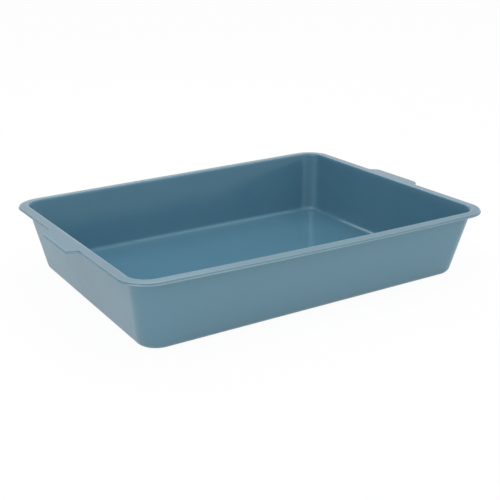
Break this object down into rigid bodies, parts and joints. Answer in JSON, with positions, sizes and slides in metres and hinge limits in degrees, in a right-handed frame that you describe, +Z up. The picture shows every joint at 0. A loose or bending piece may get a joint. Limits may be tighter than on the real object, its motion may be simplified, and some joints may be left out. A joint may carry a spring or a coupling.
{
  "type": "cat litter tray",
  "caption": "Open rectangular litter tray: sloping walls with rounded corners, a flat outward rim and a carrying tab at each end, moulded in one piece of plastic.",
  "frame": {"origin": "middle of the base, on the surface that the tray stands on", "axes": "+X along the tray towards the right carrying tab, +Y across it away from the front long side, +Z up"},
  "size_m": [0.45, 0.337, 0.0768],
  "materials": {
    "tray_plastic": "dusty steel-blue polypropylene, satin moulded surface with a soft gloss"
  },
  "bodies": {
    "root": {"tray_floor": "tray_plastic", "front_wall": "tray_plastic", "back_wall": "tray_plastic", "left_wall": "tray_plastic", "right_wall": "tray_plastic", "front_left_corner": "tray_plastic", "front_right_corner": "tray_plastic", "back_left_corner": "tray_plastic", "back_right_corner": "tray_plastic", "rim_flange": "tray_plastic", "left_handle": "tray_plastic", "right_handle": "tray_plastic"}
  },
  "joints": []
}
